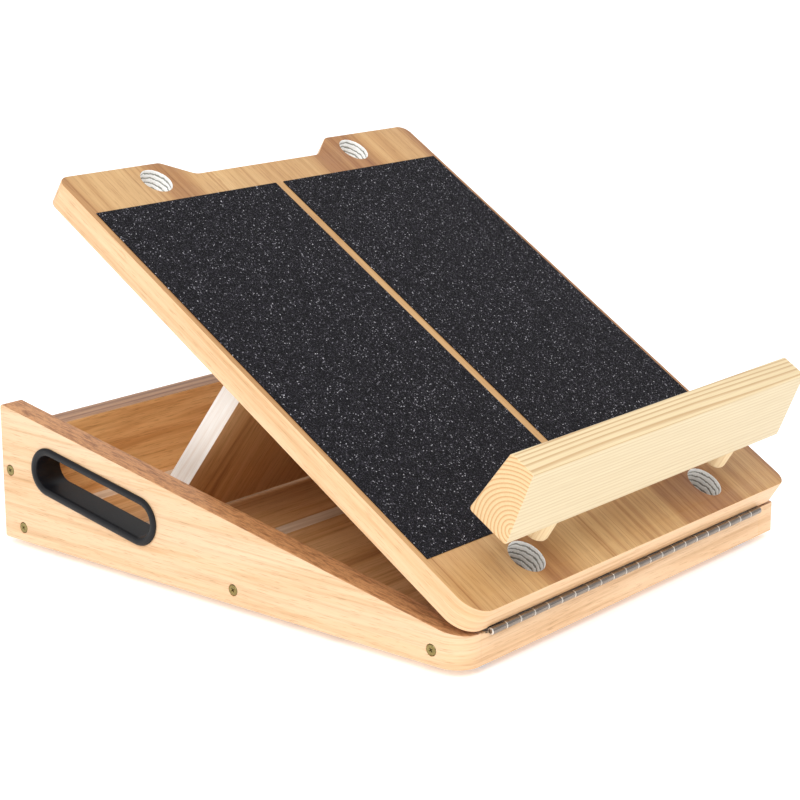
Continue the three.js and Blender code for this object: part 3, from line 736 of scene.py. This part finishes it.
def slot_liner(word, side):
    """The moulded liner: a rounded rim outside and a tube through the panel."""
    outer_x = high("right_slot_liner").x
    tail_x = low("right_slot_liner").x
    lip_x = HALF_W + 0.1 * MM
    tube = LINER_LIP
    bore = LINER_LIP + LINER_WALL
    rim = outer_x - lip_x
    soft, under, arc_steps = 0.4 * MM, 0.2 * MM, 8
    half = (bore - under) / 2
    profile = [(tube, tail_x + soft), (tube, lip_x), (under, lip_x), (0.0, lip_x + 0.25 * rim)]
    for k in range(arc_steps + 1):
        a = math.pi * (1 - k / arc_steps)
        profile.append((half + half * math.cos(a), lip_x + 0.35 * rim + 0.65 * rim * math.sin(a)))
    profile += [(bore, lip_x - MM), (bore, tail_x + soft), (bore - soft, tail_x), (tube + soft, tail_x)]
    bm = bmesh.new()
    rings = []
    for inset, x in profile:
        loop = oblong(SLOT_Y, SLOT_Z, LINER_L - 2 * inset, LINER_R - inset, SIDE_SLOPE, 26)
        rings.append([bm.verts.new((side * x, p.x, p.y)) for p in loop])
    count = len(rings[0])
    for a, b in zip(rings, rings[1:] + rings[:1]):
        for k in range(count):
            bm.faces.new((a[k], a[(k + 1) % count], b[(k + 1) % count], b[k]))
    bmesh.ops.recalc_face_normals(bm, faces=bm.faces)
    finish_piece(f"{word}_liner", bm, IDENTITY, "box", [f"{word}_slot_liner"], [plastic])


def bumper(place):
    """A round rubber foot: a flat sole with a well for its screw, and a rounded side."""
    lo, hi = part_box(f"foot_{place}")
    r = (hi.x - lo.x) / 2
    top = hi.z + 0.3 * MM
    well, well_top, lip = 3.4 * MM, 1.4 * MM, 0.5 * MM
    round_height, arc_steps = 4.2 * MM, 8
    profile = [(0, well_top), (well, well_top), (well, lip), (well + lip, 0.1 * lip), (0.55 * r, 0.0)]
    for k in range(1, arc_steps + 1):
        a = math.pi / 2 * k / arc_steps
        profile.append((r * (0.62 + 0.38 * math.sin(a)), round_height * (1 - math.cos(a))))
    profile += [(r, top), (0, top)]
    centre = Matrix.Translation(((lo.x + hi.x) / 2, (lo.y + hi.y) / 2, 0))
    bm = lathe(profile)
    finish_piece(f"bumper_{place}", bm, centre, "box", [f"foot_{place}"], [rubber])


# ---------------------------------------------------------------- screws
FOOT_SCREW_R, HINGE_SCREW_R, RAIL_SCREW_R = 3 * MM, 2.4 * MM, 4 * MM
CROSS_TURN = 0.6
CROSS_TAPER = 0.45


def screw_head(radius, height):
    """A countersunk head with a cross recess. Its top is at Z = 0 and it looks along +Z."""
    profile = [
        (0, 0.0),
        (radius * 0.9, 0.0),
        (radius, -0.08 * radius),
        (radius * 0.97, -0.16 * radius),
        (radius * 0.5, -height),
        (0, -height),
    ]
    bm = lathe(profile, 32)
    arm_size = Matrix.Diagonal((radius * 1.16, radius * 0.26, radius * 0.9, 1))
    for turn in (0, math.pi / 2):
        arm = bmesh.new()
        bmesh.ops.create_cube(arm, size=1, matrix=Matrix.Rotation(turn + CROSS_TURN, 4, "Z") @ arm_size)
        for v in arm.verts:
            if v.co.z < 0:
                v.co.x *= CROSS_TAPER
                v.co.y *= CROSS_TAPER
        bm = cut(bm, arm)
    return bm


def screw_at(node, body, axis_frame, head, material):
    """Replaces a CAD screw by a head with a recess and a plain shank below it."""
    neck, thin = -head * 0.75, head * 0.42
    shank = lathe([(0, neck), (thin, neck), (thin, -head * 4), (0, -head * 4.6)], 16)
    bm = join([screw_head(head, head * 0.8), shank])
    finish_piece(f"{node}_head", bm, axis_frame, body, [node], [material])


def facing(place, direction):
    """A frame at place whose Z axis points along direction."""
    turn = Vector((0, 0, 1)).rotation_difference(direction)
    return Matrix.Translation(place) @ turn.to_matrix().to_4x4()


def all_screws():
    """Every CAD screw, told apart by its name: side, foot, lower leaf, prop leaf, and those in the tread."""
    for name in sorted(frame["nodes"]):
        if "screw" not in name:
            continue
        lo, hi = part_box(name)
        mid = (lo + hi) / 2
        if "_side_screw_" in name:
            side = 1 if name.startswith("right") else -1
            place = Vector((side * (HALF_W - 0.15 * MM), mid.y, mid.z))
            screw_at(name, "box", facing(place, Vector((side, 0, 0))), SIDE_SCREW_R, zinc)
        elif name.startswith("foot_screw"):
            place = Vector((mid.x, mid.y, lo.z + 0.4 * MM))
            screw_at(name, "box", facing(place, Vector((0, 0, -1))), FOOT_SCREW_R, steel)
        elif name.startswith("hinge_screw_lower"):
            place = Vector((mid.x, mid.y, hi.z))
            screw_at(name, "box", facing(place, Vector((0, 0, 1))), HINGE_SCREW_R, steel)
        elif name.startswith("prop_hinge_screw"):
            lo, hi = local_span(name, PROP_FRAME)
            place = PROP_FRAME @ Vector(((lo.x + hi.x) / 2, (lo.y + hi.y) / 2, hi.z))
            out = PROP_FRAME.to_3x3() @ Vector((0, 0, 1))
            screw_at(name, "prop", facing(place, out), HINGE_SCREW_R, steel)
        else:
            lo, hi = local_span(name, TREAD_FRAME)
            place = TREAD_FRAME @ Vector(((lo.x + hi.x) / 2, (lo.y + hi.y) / 2, lo.z))
            long_screw = name.startswith("rail_screw")
            head = RAIL_SCREW_R if long_screw else HINGE_SCREW_R
            screw_at(name, "tread", facing(place, -NORMAL), head, zinc if long_screw else steel)


# ---------------------------------------------------------------- hinges
BARREL_R = 2.3 * MM
BORE_R = 1.25 * MM
LEAF_NEAR = 0.45 * MM
LEAF_T = 0.8 * MM
LEAF_START = 2.6 * MM
LEAF_ROOM = 1.6 * MM  # how far a leaf's housing reaches from the pin's plane into the board
PIN_R = 1.1 * MM
KNUCKLE_GAP = 0.16 * MM  # at each end of a knuckle
PIANO_KNUCKLES, BUTT_KNUCKLES = 22, 5
BUTT_HOUSING = 16.4 * MM  # length of a butt leaf's housing, from the pin
TO_X = Matrix.Rotation(math.radians(90), 4, "Y")


def block(lo, hi):
    """A plain box, used as a cutter or as flat sheet metal inside a joined piece."""
    bm = bmesh.new()
    lo, hi = Vector(lo), Vector(hi)
    size = Matrix.Diagonal((*(hi - lo), 1))
    bmesh.ops.create_cube(bm, size=1, matrix=Matrix.Translation((lo + hi) / 2) @ size)
    return bm


def knuckle(x0, x1):
    """One rolled knuckle round the X axis, open at both ends, with its edges broken."""
    soft = 0.36 * MM
    part = 0.3 * soft
    profile = [(BORE_R, x0), (BARREL_R - soft, x0), (BARREL_R - part, x0 + part), (BARREL_R, x0 + soft)]
    profile += [(BARREL_R, x1 - soft), (BARREL_R - part, x1 - part), (BARREL_R - soft, x1), (BORE_R, x1)]
    bm = lathe(profile + profile[:1], 28)
    bmesh.ops.remove_doubles(bm, verts=bm.verts, dist=1e-7)
    bmesh.ops.transform(bm, matrix=TO_X, verts=bm.verts)
    bmesh.ops.recalc_face_normals(bm, faces=bm.faces)
    return bm


def hinge_leaf(length, count, leaf_end, level, parity):
    """A leaf on the +Y side of its pin, above (level 1) or below (level -1) the middle plane."""
    pitch = length / count
    z0 = LEAF_NEAR if level > 0 else -LEAF_NEAR - LEAF_T
    z1 = z0 + LEAF_T
    parts = [block((-length / 2, LEAF_START, z0), (length / 2, leaf_end, z1))]
    for i in range(parity, count, 2):
        x0 = -length / 2 + i * pitch + KNUCKLE_GAP
        x1 = x0 + pitch - 2 * KNUCKLE_GAP
        parts.append(knuckle(x0, x1))
        parts.append(block((x0, BORE_R + 0.1 * MM, z0), (x1, LEAF_START, z1)))
    return join(parts)


def hinge_pin(length):
    """A pin along X with its ends chamfered."""
    end = length / 2
    full = end - 0.3 * MM
    tip = PIN_R * 0.8
    bm = lathe([(0, -end), (tip, -end), (PIN_R, -full), (PIN_R, full), (tip, end), (0, end)], 20)
    bmesh.ops.transform(bm, matrix=TO_X, verts=bm.verts)
    bmesh.ops.recalc_face_normals(bm, faces=bm.faces)
    return bm


def glint_ends(centre, normal):
    """Bright metal on the trimmed ends of the knuckles, a painted highlight for the light caught in the gaps
    between knuckles; dull metal everywhere else.
    """
    return 1 if abs(normal.x) > 0.3 else 0


def piano_hinge():
    """Two leaves and a pin along the box's front edge."""
    length = 2 * high("hinge_leaf_lower").x
    leaf_end = high("hinge_leaf_lower").y - PIN.y
    at_pin = Matrix.Translation(PIN)
    parts = [
        ("piano_leaf_box", "box", at_pin, -1, 0, "hinge_leaf_lower"),
        ("piano_leaf_tread", "tread", TREAD_FRAME, 1, 1, "hinge_leaf_upper"),
    ]
    for name, body, place, level, parity, node in parts:
        bm = hinge_leaf(length, PIANO_KNUCKLES, leaf_end, level, parity)
        finish_piece(name, bm, place, body, [node], [steel, cut_steel_glint], glint_ends)
    pin = hinge_pin(length - MM)
    finish_piece("piano_pin", pin, at_pin, "hinge_pin", ["hinge_pin"], [steel])


def butt_hinge(word):
    """One of the two small hinges between the rail and the prop."""
    lo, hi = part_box(f"prop_hinge_leaf_{word}")
    centre = (lo.x + hi.x) / 2
    length = hi.x - lo.x
    leaf_end = local_span(f"prop_hinge_leaf_{word}", PROP_FRAME)[1].y
    shift = Matrix.Translation((centre, 0, 0))
    rail_frame = Matrix.Translation(PROP_PIN) @ Matrix.Rotation(TILT, 4, "X") @ shift
    prop_frame = PROP_FRAME @ shift
    upper = hinge_leaf(length, BUTT_KNUCKLES, leaf_end, 1, 0)
    lower = hinge_leaf(length, BUTT_KNUCKLES, leaf_end, -1, 1)
    finish_piece(f"butt_leaf_rail_{word}", upper, rail_frame, "tread",
                 [f"rail_hinge_leaf_{word}"], [steel, cut_steel_glint], glint_ends)
    finish_piece(f"butt_leaf_prop_{word}", lower, prop_frame, "prop",
                 [f"prop_hinge_leaf_{word}"], [steel, cut_steel_glint], glint_ends)
    finish_piece(f"butt_pin_{word}", hinge_pin(length - MM), rail_frame, "tread",
                 [f"prop_hinge_pin_{word}"], [steel])


# ---------------------------------------------------------------- tread
HOLE_X = 100 * MM
FRONT_HOLE_R, FRONT_HOLE_S = 12.5 * MM, 24 * MM
REAR_HOLE_R, REAR_HOLE_S = 11.25 * MM, 389.5 * MM
NOTCH_DEPTH, NOTCH_TOP, NOTCH_FLOOR = 16 * MM, 84 * MM, 62 * MM
REAR_CORNER_R, NOTCH_TOP_R, NOTCH_FLOOR_R = 9 * MM, 8 * MM, 12 * MM
GRIT_STEP, GRIT_DEPTH, GRIT_EDGE_DROP = 1.5 * MM, 0.22 * MM, 0.25 * MM
TREAD_LO, TREAD_HI = local_span("tread_board", TREAD_FRAME)


def tread_board():
    """The tread: four through holes, a finger notch at the rear and a housing for the hinge's upper leaf."""
    w, front, rear = HALF_W, TREAD_LO.y, TREAD_HI.y
    notch = rear - NOTCH_DEPTH
    outline = rounded([
        (-w, front, TREAD_CORNERS[-1]),
        (w, front, TREAD_CORNERS[1]),
        (w, rear, REAR_CORNER_R),
        (NOTCH_TOP, rear, NOTCH_TOP_R),
        (NOTCH_FLOOR, notch, NOTCH_FLOOR_R),
        (-NOTCH_FLOOR, notch, NOTCH_FLOOR_R),
        (-NOTCH_TOP, rear, NOTCH_TOP_R),
        (-w, rear, REAR_CORNER_R),
    ], 14)
    spots = [(side * HOLE_X, front + s, r) for side in (-1, 1)
             for s, r in ((FRONT_HOLE_S, FRONT_HOLE_R), (REAR_HOLE_S, REAR_HOLE_R))]
    bm = slab(outline, [circle(*spot) for spot in spots], TREAD_LO.z, TREAD_HI.z, EDGE)
    reach = high("hinge_leaf_upper").x + MM
    leaf_end = local_span("hinge_leaf_upper", TREAD_FRAME)[1].y + LEAF_PLAY
    bm = cut(bm, block((-reach, front - MM, TREAD_LO.z - MM), (reach, leaf_end, LEAF_ROOM)))
    rear_zone = front + 300 * MM

    def pick(centre, normal):
        if abs(normal.z) > 0.75:
            return 0
        for x, y, r in spots:
            if math.hypot(centre.x - x, centre.y - y) < r + MM:
                return 2
        return 3 if centre.y > rear_zone and normal.y > 0.3 else 1
    finish_piece("tread", bm, TREAD_FRAME, "tread", ["tread_board"],
                 [tread_face, tread_side, hole_wall, tread_rear], pick)


def grip_sheet(word, seed):
    """A sheet of mineral grit: a fine grid whose points stand at random heights."""
    lo, hi = local_span(f"grip_sheet_{word}", TREAD_FRAME)
    rng = random.Random(seed)
    nx, ny = round((hi.x - lo.x) / GRIT_STEP), round((hi.y - lo.y) / GRIT_STEP)
    bm = bmesh.new()
    grid = []
    for j in range(ny + 1):
        row = []
        for i in range(nx + 1):
            edge = i in (0, nx) or j in (0, ny)
            jitter = 0 if edge else 0.35 * GRIT_STEP
            x = lo.x + (hi.x - lo.x) * i / nx + rng.uniform(-jitter, jitter)
            y = lo.y + (hi.y - lo.y) * j / ny + rng.uniform(-jitter, jitter)
            drop = GRIT_EDGE_DROP if edge else rng.uniform(0, GRIT_DEPTH)
            row.append(bm.verts.new((x, y, hi.z - drop)))
        grid.append(row)
    for j in range(ny):
        for i in range(nx):
            bm.faces.new((grid[j][i], grid[j][i + 1], grid[j + 1][i + 1], grid[j + 1][i]))
    border = grid[0] + [row[-1] for row in grid[1:]] + grid[-1][-2::-1] + [row[0] for row in grid[-2:0:-1]]
    base = [bm.verts.new((v.co.x, v.co.y, TREAD_HI.z + 0.02 * MM)) for v in border]
    for k in range(len(border)):
        m = (k + 1) % len(border)
        bm.faces.new((border[m], border[k], base[k], base[m]))
    bm.faces.new(list(reversed(base)))
    bmesh.ops.recalc_face_normals(bm, faces=bm.faces)
    finish_piece(f"grit_{word}", bm, TREAD_FRAME, "tread", [f"grip_sheet_{word}"], [grip],
                 smooth_angle=70)


def hinge_housings(bm, level, pin_y, pin_z, leaf_end):
    """Cuts the two butt hinges' barrels and leaves into a board whose face lies near the pin plane."""
    for word in ("left", "right"):
        lo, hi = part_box(f"prop_hinge_leaf_{word}")
        x0, x1 = lo.x - LEAF_PLAY, hi.x + LEAF_PLAY
        room = BARREL_R + 0.3 * MM
        barrel = block((x0, pin_y - room, pin_z - room), (x1, pin_y + room, pin_z + room))
        recess = sorted((pin_z - level * MM, pin_z + level * LEAF_ROOM))
        leaf = block((x0, pin_y, recess[0]), (x1, leaf_end, recess[1]))
        bm = cut(cut(bm, barrel), leaf)
    return bm


def turned_slab(lo, hi, edge):
    """A board with softened long edges, between two corners."""
    outline = [Vector(p) for p in ((lo.y, lo.z), (hi.y, lo.z), (hi.y, hi.z), (lo.y, hi.z))]
    bm = slab(outline, [], lo.x, hi.x, edge)
    bmesh.ops.transform(bm, matrix=YZ_PLANE, verts=bm.verts)
    return bm


def prop_rail():
    """The rail under the tread from which the prop hangs."""
    lo, hi = local_span("prop_rail", TREAD_FRAME)
    pin = TREAD_FRAME.inverted() @ PROP_PIN
    bm = hinge_housings(turned_slab(lo, hi, EDGE), 1, pin.y, pin.z, pin.y + BUTT_HOUSING)
    finish_piece("rail", bm, TREAD_FRAME, "tread", ["prop_rail"], [rail_wood])


def prop_board():
    """The board that sets the slope: veneered faces and bare edges."""
    lo, hi = local_span("prop_board", PROP_FRAME)
    bm = hinge_housings(turned_slab(lo, hi, EDGE), -1, 0, 0, BUTT_HOUSING)

    def pick(centre, normal):
        return 0 if abs(normal.z) > 0.75 else 1
    finish_piece("prop", bm, PROP_FRAME, "prop", ["prop_board"], [prop_face, prop_edge_lit], pick)


# ---------------------------------------------------------------- stopper
FRONT_LEAN, REAR_LEAN = 8.5 * MM, 4.6 * MM
BAR_EDGE_R = 2.5 * MM


def stopper():
    """The bar, with a trapezoid section, and its two dowels."""
    lo, hi = local_span("stopper_bar", TREAD_FRAME)
    outline = rounded([
        (lo.y, lo.z, BAR_EDGE_R),
        (hi.y, lo.z, BAR_EDGE_R),
        (hi.y - REAR_LEAN, hi.z, BAR_EDGE_R),
        (lo.y + FRONT_LEAN, hi.z, BAR_EDGE_R),
    ], 8)
    bm = slab(outline, [], lo.x, hi.x, 0.9 * MM)

    def pick(centre, normal):
        if abs(normal.z) > 0.6:
            return 2
        return 1 if normal.y > 0.7 else 0
    finish_piece("bar", bm, TREAD_FRAME @ YZ_PLANE, "stopper", ["stopper_bar"],
                 [bar_side, bar_top, bar_end], pick)
    for word in ("left", "right"):
        lo, hi = local_span(f"stopper_dowel_{word}", TREAD_FRAME)
        r = (hi.x - lo.x) / 2
        tip = lo.z
        profile = [(0, tip), (r - 1.8 * MM, tip), (r - 1.2 * MM, tip + 0.2 * MM)]
        profile += [(r - 0.35 * MM, tip + 1.1 * MM), (r, tip + 2.4 * MM), (r, hi.z), (0, hi.z)]
        place = TREAD_FRAME @ Matrix.Translation(((lo.x + hi.x) / 2, (lo.y + hi.y) / 2, 0))
        finish_piece(f"dowel_{word}", lathe(profile, 44), place, "stopper",
                     [f"stopper_dowel_{word}"], [dowel_wood])


# ---------------------------------------------------------------- studio
FLOOR_GLOW = 0.3
WORLD_LIGHT = 0.72


def sun(name, direction, strength, spread):
    light = bpy.data.lights.new(name, "SUN")
    light.energy = strength
    light.angle = math.radians(spread)
    lamp = new_object(name, light)
    lamp.rotation_euler = Vector(direction).to_track_quat("-Z", "Y").to_euler()


def studio():
    """A white floor, a white world, and two soft suns from the left front and from above."""
    n = Nodes("studio_floor")
    haze = n.noise(n.place(IDENTITY), 3, 2.0)
    n.set(Base_Color=n.ramp(haze, [(0.0, (0.93, 0.93, 0.93)), (1.0, (0.95, 0.95, 0.95))]), Roughness=0.9)
    n.set(Emission_Color=(1, 1, 1, 1), Emission_Strength=FLOOR_GLOW)
    bm = bmesh.new()
    bmesh.ops.create_grid(bm, x_segments=2, y_segments=2, size=30)
    mesh = bpy.data.meshes.new("studio_floor")
    bm.to_mesh(mesh)
    bm.free()
    mesh.materials.append(n.material)
    new_object("studio_floor", mesh)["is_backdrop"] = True

    world = bpy.data.worlds.new("studio")
    world.use_nodes = True
    background = world.node_tree.nodes["Background"]
    background.inputs["Color"].default_value = (1.0, 1.0, 1.0, 1)
    background.inputs["Strength"].default_value = WORLD_LIGHT
    bpy.context.scene.world = world
    sun("key", (0.75, 0.45, -0.85), 1.35, 40)
    sun("top", (-0.1, 0.25, -1.0), 0.55, 60)


# The camera was solved from the photograph's straight edges, holes and hinge joints.
LENS, SENSOR = 94.65, 36
AZIMUTH, ELEVATION = math.radians(-50.30), math.radians(14.53)
EYE = Vector((-1.0660, FRONT_Y - 0.6936, BASE_Z + 0.4556))


def camera():
    data = bpy.data.cameras.new("camera")
    data.sensor_width = SENSOR
    data.lens = LENS
    level = math.cos(ELEVATION)
    looks = Vector((-math.sin(AZIMUTH) * level, math.cos(AZIMUTH) * level, -math.sin(ELEVATION)))
    eye = new_object("camera", data)
    eye.location = EYE
    eye.rotation_euler = looks.to_track_quat("-Z", "Y").to_euler()
    bpy.context.scene.camera = eye


# ---------------------------------------------------------------- everything
camera()
studio()
bpy.context.scene.view_settings.view_transform = "Standard"
for word, side in (("left", -1), ("right", 1)):
    side_panel(word, side)
    slot_liner(word, side)
    butt_hinge(word)
floor_board()
rear_board()
for place in ("front_left", "front_right", "rear_left", "rear_right"):
    bumper(place)
all_screws()
piano_hinge()
tread_board()
grip_sheet("left", 11)
grip_sheet("right", 12)
prop_rail()
prop_board()
stopper()


def corners(box):
    return [list(map(float, corner)) for corner in box]


{"cad": corners(CAD_BOX), "visual": corners(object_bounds())}
